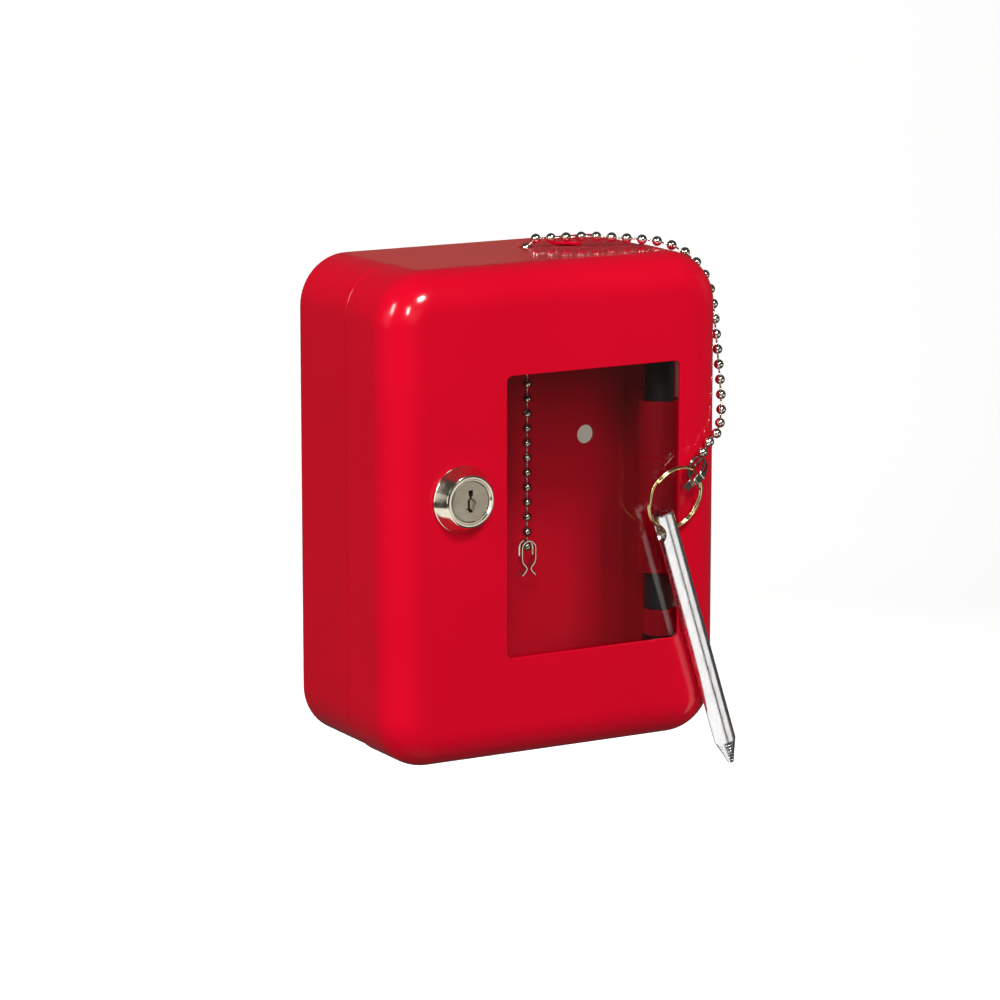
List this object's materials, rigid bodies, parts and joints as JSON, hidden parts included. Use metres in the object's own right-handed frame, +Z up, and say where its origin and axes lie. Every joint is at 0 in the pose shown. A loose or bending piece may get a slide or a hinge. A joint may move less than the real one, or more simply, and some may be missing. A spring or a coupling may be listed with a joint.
{
  "type": "emergency key box",
  "caption": "Wall-hung steel cabinet for an emergency key, with a glazed hinged door, a cam lock, and a pointed breaker pin that hangs on a ball chain.",
  "frame": {"origin": "centre of the two wall-mounting holes, on the cabinet's back face", "axes": "+Z up, +X to the right seen from the front, +Y out of the back face into the wall; the door faces -Y"},
  "size_m": [0.1234, 0.0748, 0.1688],
  "materials": {
    "red_body": "gloss red powder coat",
    "red_door": "gloss red powder coat",
    "window_glass": "clear float glass",
    "zinc_steel": "bright zinc plate",
    "nickel_lock": "polished nickel plate",
    "nickel_plug": "satin nickel plate",
    "black_bush": "black moulded plastic",
    "dark_pin": "dark oiled steel",
    "nickel_chain": "bright nickel plate",
    "nickel_clip": "bright nickel plate",
    "brass_ring": "polished brass plate",
    "bright_pin": "turned bright metal"
  },
  "bodies": {
    "cabinet": {"body_shell": "red_body", "strike": "red_body", "hinge_leaf": "red_body", "hinge_bush_upper": "black_bush", "hinge_bush_lower": "black_bush", "hinge_spacer_upper": "black_bush", "hinge_spacer_lower": "black_bush", "hinge_pin": "dark_pin", "hinge_clip": "zinc_steel", "inner_chain": "nickel_chain", "key_clip": "nickel_clip"},
    "door": {"door_shell": "red_door", "window_glass": "window_glass", "glass_channel_top": "zinc_steel", "glass_channel_bottom": "zinc_steel", "glass_stop": "zinc_steel", "glass_stop_stud": "zinc_steel", "glass_stop_nut": "zinc_steel", "lock_housing": "nickel_lock", "lock_washer": "zinc_steel", "lock_nut": "zinc_steel", "door_knuckle_upper": "red_door", "door_knuckle_lower": "red_door", "outer_chain": "nickel_chain", "chain_clip": "nickel_clip"},
    "lock_core": {"lock_plug": "nickel_plug", "lock_cam": "zinc_steel", "cam_screw": "zinc_steel"},
    "breaker": {"split_ring": "brass_ring", "breaker_pin": "bright_pin"}
  },
  "joints": [
    {"name": "door_hinge", "type": "hinge", "parent": "cabinet", "child": "door", "pos_m": [0.053, -0.033, -0.012], "axis": [0, 0, 1], "range_deg": [0, 90]},
    {"name": "lock_turn", "type": "hinge", "parent": "door", "child": "lock_core", "pos_m": [-0.0353, -0.0535, -0.0033], "axis": [0, 1, 0], "range_deg": [0, 90]},
    {"name": "breaker_swing", "type": "hinge", "parent": "door", "child": "breaker", "pos_m": [0.0445, -0.0699, -0.0017], "axis": [0, 1, 0], "range_deg": [-15, 15]}
  ]
}
